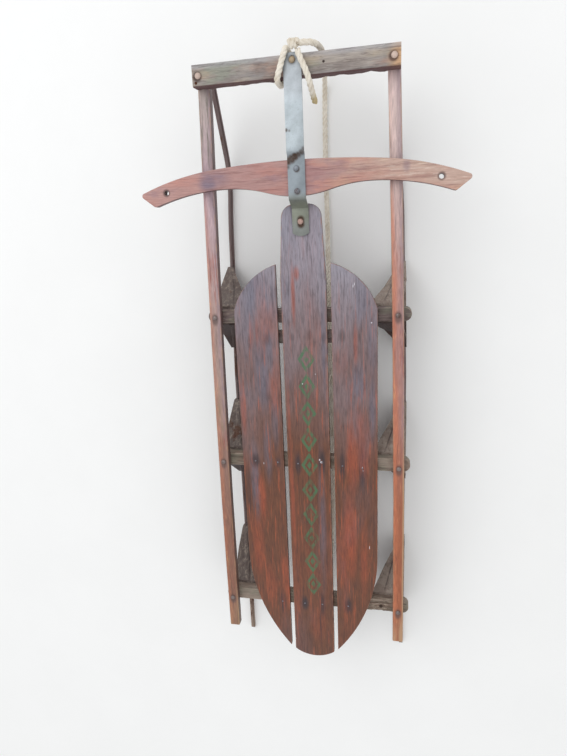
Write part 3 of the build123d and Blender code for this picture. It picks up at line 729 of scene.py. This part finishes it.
def twisted(name, node, route, step, rope, material, closed=False, thin=1, tight=1):
    """Three strands laid round a route's smooth line, as one mesh; gives the piece and the line's points."""
    points, total = spline_points(route, closed, step)
    tangents, first = carried_frames(points, closed)
    radius, lay = rope.diameter / 2 * thin, rope.lay * tight
    strand, orbit = radius * 0.57, radius * 0.43
    strands, around, smooth = 3, 8, math.radians(80)
    turns = max(1, round(total / lay)) if closed else total / lay
    last = len(points) if closed else len(points) - 1
    drift = 0
    if closed:
        end = first[-1] - tangents[0] * first[-1].dot(tangents[0])
        drift = math.atan2(tangents[0].dot(end.cross(first[0])), end.dot(first[0]))
    bm = bmesh.new()
    groove = bm.verts.layers.float.new("groove")
    for number in range(strands):
        rings = []
        for i, (place, tangent, side) in enumerate(zip(points, tangents, first)):
            share = i / last
            angle = 2 * math.pi * (turns * share + number / strands) + drift * share
            out = side * math.cos(angle) + tangent.cross(side) * math.sin(angle)
            centre = place + out * orbit
            lean = (tangent + (tangent.cross(out)) * (2 * math.pi * orbit / lay)).normalized()
            across = (out - lean * out.dot(lean)).normalized()
            up = lean.cross(across)
            ring = []
            for k in range(around):
                a = 2 * math.pi * k / around
                vert = bm.verts.new(centre + (across * math.cos(a) + up * math.sin(a)) * strand)
                vert[groove] = 0.5 - 0.5 * math.cos(a)
                ring.append(vert)
            rings.append(ring)
        for a, b in zip(rings, rings[1:] + ([rings[0]] if closed else [])):
            for k in range(around):
                bm.faces.new((a[k], a[(k + 1) % around], b[(k + 1) % around], b[k]))
        if not closed:
            bm.faces.new(list(reversed(rings[0])))
            bm.faces.new(rings[-1])
    return file_piece(bm, name, material, "bumper", node, smooth), points


# The same points as the rope's solids, in metres from the middle bench.
long_route = (
    (0.01155, 0.6048, 0.1714), (0.022, 0.6048, 0.1714), (0.031, 0.605, 0.163), (0.035, 0.6065, 0.14),
    (0.034, 0.609, 0.093), (0.0285, 0.6135, 0.05), (0.0255, 0.606, 0.018), (0.0235, 0.582, 0.00425),
    (0.0226, 0.54, 0.00425), (0.022, 0.468, 0.00425), (0.0234, 0.36, 0.00425), (0.0224, 0.25, 0.00425),
    (0.0242, 0.14, 0.00425), (0.0234, 0.024, 0.00425), (0.024, -0.092, 0.00425), (0.02, -0.195, 0.00425),
    (0.0135, -0.292, 0.00425), (0.012, -0.343, 0.00425), (-0.0065, -0.362, 0.00425),
    (-0.033, -0.363, 0.00425), (-0.052, -0.343, 0.00425), (-0.053, -0.291, 0.00425),
    (-0.046, -0.196, 0.00425), (-0.0425, -0.082, 0.00425), (-0.038, 0.018, 0.00425), (-0.041, 0.11, 0.00425))
end_route = (
    (0.0087, 0.59735, 0.1714), (0.0107, 0.59, 0.17005), (0.017, 0.577, 0.16915), (0.0215, 0.565, 0.16715),
    (0.0235, 0.554, 0.158), (0.0243, 0.5465, 0.146), (0.025, 0.5415, 0.132))


class SLED_OT_camera(Operator):
    """Camera above the sled, where the photograph was taken from."""
    bl_idname = "sled.camera"
    bl_label = "Camera"

    def execute(self, context):
        sensor, focus_pixels, photo_height = 36, 545.429722, 756
        turn_x, turn_y, turn_z = 0.255213, -0.203724, -0.009311
        shift, fitted_y = Vector((0.064856, -0.027519, -1.001622)), 0.08225
        data = bpy.data.cameras.new("camera")
        made = bpy.data.objects.new("camera", data)
        context.scene.collection.objects.link(made)
        data.sensor_fit, data.sensor_width, data.lens = "AUTO", sensor, sensor * focus_pixels / photo_height
        data.clip_start, data.clip_end = 0.01, 50
        turn = (Matrix.Rotation(turn_z, 3, "Z") @ Matrix.Rotation(turn_y, 3, "Y")
                @ Matrix.Rotation(turn_x, 3, "X"))
        made.location = -(turn.transposed() @ shift) + Vector((0, bench_y + fitted_y, 0))
        made.rotation_mode = "QUATERNION"
        made.rotation_quaternion = turn.transposed().to_quaternion()
        context.scene.camera = made
        return {"FINISHED"}


class SLED_OT_rope(Operator):
    """Pull rope: its turn round the bumper, the knot, the free end and the long strand."""
    bl_idname = "sled.rope"
    bl_label = "Pull rope"

    def execute(self, context):
        rope = context.scene.sled_rope
        finish = cotton(rope)
        radius = Vector(even) * rope.diameter / 2
        low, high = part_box("rope_hitch")
        (far_x, rear, low_z), (near_x, front, top_z) = low + radius, high - radius
        # the turn round the bumper
        drop = 0.0004
        corners = [Vector(place) for place in ((near_x, front, top_z), (far_x, rear, top_z - drop),
                                               (far_x, rear, low_z), (near_x, front, low_z))]
        route = []
        for here, after in zip(corners, corners[1:] + corners[:1]):
            route += [here.lerp(after, t) for t in (0.1, 0.5, 0.9)]
        hitch, points = twisted("hitch", "rope_hitch", route, 0.0012, rope, finish, closed=True)
        # the knot: rather more than two turns of the rope drawn tight ahead of the bumper
        knot, wide, start_x, run_x, last, per_turn = middle("rope_knot"), 0.0037, -0.0052, 0.0108, 16, 7
        turns = []
        for i in range(last + 1):
            angle = 2 * math.pi * i / per_turn
            place = (start_x + run_x * i / last, wide * math.cos(angle), wide * math.sin(angle))
            turns.append(knot + Vector(place))
        wound, points = twisted("knot", "rope_knot", turns, 0.001, rope, finish, thin=0.86, tight=0.8)
        # the free end, soiled where it was cut
        places = along_sled(end_route)
        soiled = cotton(rope, "rope_end_cotton", 0.4, places[-1])
        short, points = twisted("free_end", "rope_end", places, 0.0012, rope, soiled)
        # the long strand
        places = along_sled(long_route)
        strand, points = twisted("long_strand", "rope", places, 0.002, rope, finish)
        return {"FINISHED"}


class SLED_OT_deck(Operator):
    """The three slats, with worn edges and nails."""
    bl_idname = "sled.deck"
    bl_label = "Deck"

    def execute(self, context):
        wood, metal = context.scene.sled_wood, context.scene.sled_steel
        finish = slat_wood(wood)
        for node in ("slat_middle", "slat_left", "slat_right"):
            bm = merged(node)
            ease(bm, wood.edge_round, bolt_holes("pivot_bolt"), segments=3)
            file_piece(bm, node + "_board", finish, "frame", node)
        nail_steel = steel("nail_steel", paint(132, 130, 138), metal.rust, 0.04, 0.5, 0.6, 2)
        bm = bmesh.new()
        for nail in slat_nails:
            disc(bm, (nail[0] / 1000, nail[1] / 1000 + bench_y, deck_top + 0.0001), 0.0015, 0.001, 0.0008)
        file_piece(bm, "slat_nails", nail_steel, "frame")
        return {"FINISHED"}


# How much shorter each bench is at its left and right end than the evenly cut one, in metres.
bench_trim = {"front": (0.0065, 0.002), "middle": (0.0065, 0.001), "rear": (0.0035, 0)}


def tear(bm, node, torn):
    """Roughens the torn place near the right end of a bench's top."""
    start, stop, deep, half_width = 0.099, 0.135, 0.004, 0.009
    cut(bm, "x", steps(start - 0.001, stop + 0.001, 0.0025))
    cut(bm, "y", steps(middle(node).y - half_width, middle(node).y + half_width, 0.003))
    level = top(node) - deep
    for vert in bm.verts:
        x, y, z = vert.co
        if z > level and start < x < stop:
            edge = min(1, (x - start) / 0.008, (stop - x) / 0.006)
            rough = noise.fractal(Vector((x * 90, y * 260, 3)), 0.7, 2.2, 4)
            vert[torn] = edge
            vert.co.z -= edge * (0.0012 + 0.0022 * max(-0.5, min(1, rough)))


class SLED_OT_benches(Operator):
    """The three benches under the deck and the batten; their ends are uneven, and the rear one is torn."""
    bl_idname = "sled.benches"
    bl_label = "Benches"

    def execute(self, context):
        wood = context.scene.sled_wood
        finish = bench_wood(wood)
        for bench in benches:
            node = "bench_" + bench
            bolts = [f"rail_bolt_{bench}_{side}" for side in sides]
            bm = merged(node)
            ease(bm, wood.edge_round * 0.8, bolt_holes(*bolts))
            for sign, bolt, trim in zip(sides.values(), bolts, bench_trim[bench]):
                past_bolt = sign * middle(bolt).x + 0.0052
                for vert in bm.verts:
                    if sign * vert.co.x > past_bolt:
                        vert.co.x -= sign * trim
            torn = bm.verts.layers.float.new("torn")
            if bench == "rear":
                tear(bm, node, torn)
            file_piece(bm, node + "_board", finish, "frame", node)
        bm = merged("batten")
        ease(bm, wood.edge_round * 0.6)
        bm.verts.layers.float.new("torn")
        file_piece(bm, "batten_board", finish, "frame", "batten")
        return {"FINISHED"}


def bend_with_front(made):
    """Bakes the placement of a rail or runner into its mesh."""
    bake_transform(made)


def cut_for_bend(bm, front):
    """Cuts a rail or runner across, in short steps from the front bench to near its front end."""
    cut(bm, "y", steps(middle("bench_front").y, front - 0.004, 0.022))


class SLED_OT_rails(Operator):
    """The two springy side rails."""
    bl_idname = "sled.rails"
    bl_label = "Rails"

    def execute(self, context):
        wood = context.scene.sled_wood
        finish = rail_wood(wood)
        half_width = 0.00865
        line_x, line_y, radius = circle_through((0.1325, 0.59235 + bench_y), (0.1434, 0.08 + bench_y),
                                                (0.1454, -0.321 + bench_y))
        for side, sign in sides.items():
            bm = merged("rail_" + side)
            bolts = [f"rail_bolt_{bench}_{side}" for bench in benches]
            ease(bm, wood.edge_round * 1.3, bolt_holes(*bolts, f"bumper_bolt_{side}"), segments=3)
            cut_for_bend(bm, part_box("rail_right")[1].y)
            across = bm.verts.layers.float.new("across")
            for vert in bm.verts:
                centre = line_x + math.sqrt(radius ** 2 - (vert.co.y - line_y) ** 2)
                vert[across] = (vert.co.x - sign * centre) / half_width
            made = file_piece(bm, f"rail_{side}_strip", finish, None, "rail_" + side)
            bend_with_front(made)
        return {"FINISHED"}


class SLED_OT_runners(Operator):
    """The two steel runners, turned over under the bumper."""
    bl_idname = "sled.runners"
    bl_label = "Runners"

    def execute(self, context):
        metal = context.scene.sled_steel
        dusty_tail = ((-0.18 + bench_y, -0.27 + bench_y, paint(146, 126, 112)),)
        finish = steel("runner_paint", metal.runner, metal.rust, 0.02, 0.5, 0.25, 7, (1, 0.2, 1),
                       sole=True, tones=dusty_tail)
        for side in sides:
            node = "runner_" + side
            bm = merged(node)
            ease(bm, metal.edge_round, bolt_holes(f"bumper_bolt_{side}"))
            cut_for_bend(bm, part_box(node)[1].y)
            made = file_piece(bm, node + "_bar", finish, None, node)
            bend_with_front(made)
        return {"FINISHED"}


class SLED_OT_knees(Operator):
    """The six pressed steel knees, with rounded presswork edges."""
    bl_idname = "sled.knees"
    bl_label = "Knees"

    def execute(self, context):
        metal = context.scene.sled_steel
        finish = steel("knee_paint", metal.knee, metal.rust, 0, 0.6, 0.15, 4, rear=metal.knee_rear_shade)
        reach = 0.045
        for bench in benches:
            line_y = middle("bench_" + bench).y
            for side in sides:
                node = f"knee_{bench}_{side}"
                bm = merged(node)
                ease(bm, metal.edge_round * 1.4, angle=22)
                rearward = bm.verts.layers.float.new("rearward")
                for vert in bm.verts:
                    vert[rearward] = (line_y - vert.co.y) / reach
                file_piece(bm, node + "_pressing", finish, "frame", node)
        return {"FINISHED"}


strap_screws = ("strap_screw_front", "strap_screw_rear")
strap_step_y = 0.4715 + bench_y
# Rust and painted shade where the strap steps down: across, along from the step, height, inner and outer
# reach, strength.
strap_step_rust_and_shade = (
    (-0.011, -0.008, 0.159, 0.003, 0.008, 1), (-0.006, -0.006, 0.16, 0.003, 0.008, 1),
    (-0.001, -0.003, 0.161, 0.003, 0.007, 1), (0.004, -0.001, 0.162, 0.002, 0.006, 0.9),
    (0.009, 0.002, 0.163, 0.002, 0.006, 1), (0.012, 0.006, 0.164, 0.001, 0.005, 1),
    (-0.012, -0.016, 0.158, 0.001, 0.005, 0.8))


def strap_marks():
    """Dark spots of the strap: rust and painted shade at its step, a scar on its left edge, and round its
    bolts and screws, with painted shade in the recess round the pivot and below the screw heads.
    """
    high = top("steering_strap")
    scar = ((-0.0115, 0.031, high, 0.001, 0.0035, 0.9), (-0.007, 0.03, high, 0.0005, 0.0025, 0.6))
    marks = [((x, strap_step_y + y, z), *rest) for x, y, z, *rest in strap_step_rust_and_shade + scar]
    # painted shade with rust in the recess round the pivot, and painted shade below the screw heads
    for node, x, y, *rest in (
            *(("pivot_bolt", 0.0005, y, 0.003, 0.0075, 1) for y in (-0.004, -0.001, 0.003)),
            *((node, 0.0008, -0.0012, 0.002, 0.006, 0.9) for node in strap_screws)):
        marks.append(((middle(node).x + x, middle(node).y + y, top(node) - 0.002), *rest))
    front = middle("strap_bolt")
    return [*marks, ((front.x, front.y, high), 0.004, 0.008, 0.6)]


class SLED_OT_steering(Operator):
    """The steering bar and the steel strap."""
    bl_idname = "sled.steering"
    bl_label = "Steering"

    def execute(self, context):
        wood, metal = context.scene.sled_wood, context.scene.sled_steel
        bm = merged("steering_bar")
        ease(bm, wood.edge_round * 1.2, bolt_holes(*strap_screws), segments=3)
        file_piece(bm, "bar_board", bar_wood(wood), "steering", "steering_bar")
        tones = [(here + bench_y, after + bench_y, tone) for here, after, tone in (
            (0.555, 0.53, paint(178, 188, 194)), (0.485, 0.465, metal.strap_dark),
            (0.425, 0.405, metal.strap_end), (0.39, 0.375, paint(132, 136, 132)))]
        finish = steel("strap_galvanised", metal.strap, paint(84, 62, 48), -0.06, 0.46, 0.45, 12,
                       marks=strap_marks(), tones=tones)
        bm = merged("steering_strap")
        ease(bm, metal.edge_round, bolt_holes("pivot_bolt", "strap_bolt", *strap_screws))
        file_piece(bm, "strap_band", finish, "steering", "steering_strap")
        return {"FINISHED"}


class SLED_OT_bumper(Operator):
    """The bumper, weathered and chewed along its lower rear edge, with a nail and an old hole."""
    bl_idname = "sled.bumper"
    bl_label = "Bumper"

    def execute(self, context):
        wood, metal = context.scene.sled_wood, context.scene.sled_steel
        end_round, chewed_y, chewed_z = 0.0024, 0.006, 0.009
        low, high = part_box("bumper")
        bm = merged("bumper")
        bmesh.ops.dissolve_limit(bm, angle_limit=math.radians(9), verts=bm.verts, edges=bm.edges)
        ends = [e for e in bm.edges if min(abs(v.co.x) for v in e.verts) > high.x - 1e-4]
        rounded(bm, ends, end_round, 3)
        ease(bm, wood.edge_round, bolt_holes("bumper_bolt_left", "bumper_bolt_right", "strap_bolt"))
        cut(bm, "x", steps(low.x + 0.003, high.x - 0.003, 0.006))
        for vert in bm.verts:
            x, y, z = vert.co
            rear = max(0, 1 - (y - low.y) / chewed_y) * max(0, 1 - (z - low.z) / chewed_z)
            if rear > 0:
                chew = max(0, 0.5 + noise.fractal(Vector((x * 55, 7, 1)), 0.8, 2.1, 4))
                vert.co.y += rear * 0.0022 * chew
                vert.co.z += rear * 0.0016 * chew
        file_piece(bm, "bumper_beam", bumper_wood(wood), "bumper", "bumper")
        dark = steel("bumper_dark_steel_and_hole_shade", paint(70, 60, 58), metal.rust, 0.05, 0.7, 0.3, 3)
        bm = bmesh.new()
        disc(bm, (-0.1365, low.y + 0.005, high.z + 0.0001), 0.0022, 0.0018, 0.0008)
        # painted shade of an old hole, as a thin dark disc
        disc(bm, (0.0415, low.y + 0.015, high.z), 0.002, 0.0015, 0.0006)
        file_piece(bm, "bumper_nail_and_hole_disc", dark, "bumper")
        return {"FINISHED"}


def bolt_piece(name, node, material, body, radius, head_height):
    """A domed bolt over its node: the head and shank by turning a profile, and a six-sided nut."""
    shank, head_edge, nut_thick, nut_drop, nut_round = 0.0021, 0.0006, 0.0032, 0.001, 0.0004
    low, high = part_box(node)
    nut_radius = (high.x - low.x) / 2 * 0.95
    head_low, dome = high.z - head_height, head_height - head_edge
    quarter = [math.pi / 2 * i / 6 for i in range(7)]
    line = [(0, low.z), (shank, low.z), (shank, head_low), (radius, head_low),
            *[(radius * math.cos(a), head_low + head_edge + dome * math.sin(a)) for a in quarter]]
    bm = bmesh.new()
    verts = [bm.verts.new((x, 0, z)) for x, z in line]
    edges = [bm.edges.new(pair) for pair in zip(verts, verts[1:])]
    bmesh.ops.spin(bm, geom=verts + edges, cent=(0, 0, 0), axis=(0, 0, 1), angle=2 * math.pi, steps=24,
                   use_merge=True, use_duplicate=False)
    bmesh.ops.remove_doubles(bm, verts=bm.verts, dist=1e-6)
    place = Matrix.Translation((0, 0, low.z + nut_thick / 2 + nut_drop))
    nut = bmesh.ops.create_cone(bm, cap_ends=True, cap_tris=False, segments=6, radius1=nut_radius,
                                radius2=nut_radius, depth=nut_thick, matrix=place)
    rounded(bm, list({e for v in nut["verts"] for e in v.link_edges}), nut_round, 2)
    bmesh.ops.translate(bm, verts=bm.verts, vec=(middle(node).x, middle(node).y, 0))
    bm.faces.layers.float.new("edge_wear")
    file_piece(bm, name, material, body, node)


class SLED_OT_bolts(Operator):
    """All the bolts, with domed heads."""
    bl_idname = "sled.bolts"
    bl_label = "Bolts"

    def execute(self, context):
        dull, grey, pale, pivot, bronze = (
            steel(name, paint(*face), context.scene.sled_steel.rust, *rest) for name, face, *rest in (
                ("bolt_dull", (128, 116, 114), 0.04, 0.42, 0.5, 1),
                ("screw_dull", (126, 132, 140), 0, 0.4, 0.6, 3),
                ("bolt_worn", (206, 184, 172), 0, 0.55, 0.35, 5),
                ("pivot_worn", (176, 146, 136), 0.02, 0.5, 0.35, 6),
                ("bolt_stained", (168, 150, 124), 0.04, 0.5, 0.4, 9)))
        for bench in benches:
            for side in sides:
                bolt_piece(f"dome_{bench}_{side}", f"rail_bolt_{bench}_{side}", dull, "frame", 0.0037, 0.0025)
        for side in sides:
            bolt_piece(f"dome_bumper_{side}", f"bumper_bolt_{side}", pale, "bumper", 0.0043, 0.0025)
        bolt_piece("dome_strap_front", "strap_bolt", bronze, "bumper", 0.0043, 0.0025)
        bolt_piece("dome_pivot", "pivot_bolt", pivot, "frame", 0.0042, 0.0025)
        for end, node in zip(("front", "rear"), strap_screws):
            bolt_piece(f"dome_strap_{end}_screw", node, grey, "steering", 0.0036, 0.0018)
        return {"FINISHED"}


class SLED_OT_stage(Operator):
    """Plain pale floor and soft light."""
    bl_idname = "sled.stage"
    bl_label = "Floor and light"

    def execute(self, context):
        stage = context.scene.sled_stage
        finish = Finish("floor_paint", 0.9, specular=0.1)
        cloud = finish.noise(finish.stretched(), 6)
        finish.base = stage.floor
        finish.coat(finish.band(cloud, 0.3, 0.7), scaled(stage.floor, 0.985))
        bm = bmesh.new()
        bmesh.ops.create_grid(bm, x_segments=1, y_segments=1, size=6)
        floor = file_piece(bm, "floor", finish.done())
        data = bpy.data.lights.new("key", "AREA")
        data.shape, data.size, data.energy = "DISK", 2.4, stage.key_power
        lamp = bpy.data.objects.new("key", data)
        lamp.location = (-0.9, 1.5, 2.4)
        lamp.rotation_mode = "QUATERNION"
        lamp.rotation_quaternion = Vector((0.9, -1.4, -2.3)).to_track_quat("-Z", "Y")
        context.scene.collection.objects.link(lamp)
        world = bpy.data.worlds.new("studio")
        context.scene.world = world
        world.use_nodes = True
        back = world.node_tree.nodes["Background"]
        back.inputs["Color"].default_value = (1, 1, 1, 1)
        back.inputs["Strength"].default_value = stage.fill
        context.scene.view_settings.view_transform = "Standard"
        return {"FINISHED"}


operators = (SLED_OT_camera, SLED_OT_rope, SLED_OT_deck, SLED_OT_benches, SLED_OT_rails, SLED_OT_runners,
             SLED_OT_knees, SLED_OT_steering, SLED_OT_bumper, SLED_OT_bolts, SLED_OT_stage)


class SLED_PT_panel(Panel):
    bl_label = "Snow sled"
    bl_idname = "SLED_PT_panel"
    bl_space_type = "VIEW_3D"
    bl_region_type = "UI"
    bl_category = "Sled"

    def draw(self, context):
        for operator in operators:
            self.layout.operator(operator.bl_idname)
        for key, group in groups.items():
            box = self.layout.box()
            for name in group.__annotations__:
                box.prop(getattr(context.scene, key), name)


classes = (*groups.values(), *operators, SLED_PT_panel)


def register():
    for item in classes:
        bpy.utils.register_class(item)
    for key, group in groups.items():
        setattr(bpy.types.Scene, key, PointerProperty(type=group))


def unregister():
    for key in groups:
        delattr(bpy.types.Scene, key)
    for item in reversed(classes):
        bpy.utils.unregister_class(item)


def main():
    register()
    for operator in operators:
        getattr(bpy.ops.sled, operator.bl_idname.split(".")[1])()


if __name__ == "__main__":
    main()
